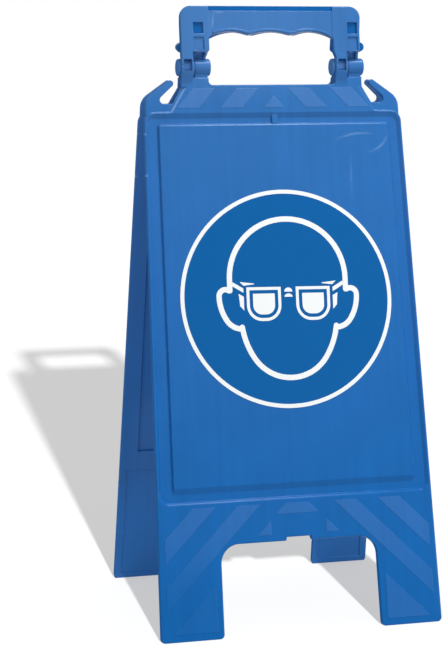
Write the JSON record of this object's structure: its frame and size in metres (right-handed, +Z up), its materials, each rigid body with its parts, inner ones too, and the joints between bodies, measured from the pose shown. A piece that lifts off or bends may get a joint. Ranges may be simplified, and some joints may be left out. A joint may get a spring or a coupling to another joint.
{
  "type": "folding warning sign",
  "caption": "Freestanding folding floor sign of moulded blue plastic: hinged leaves under a split carrying handle, chain hooks, striped bands and round pictogram labels.",
  "frame": {"origin": "on the floor, midway between the four feet, below the hinge axis", "axes": "+Z up, X along the hinge axis, the front leaf faces -Y"},
  "size_m": [0.2798, 0.2384, 0.5939],
  "materials": {
    "leaf_plastic": "injection moulded polypropylene, satin with finely grained raised stripes",
    "pin_steel": "plain drawn steel pin",
    "label_vinyl": "printed self-adhesive vinyl"
  },
  "bodies": {
    "front": {"front_leaf": "leaf_plastic", "left_hinge_pin": "pin_steel", "right_hinge_pin": "pin_steel", "front_label": "label_vinyl"},
    "rear": {"rear_leaf": "leaf_plastic", "rear_label": "label_vinyl"}
  },
  "joints": [
    {"name": "fold", "type": "hinge", "parent": "front", "child": "rear", "pos_m": [0, 0, 0.535], "axis": [-1, 0, 0], "range_deg": [0, 24]}
  ]
}
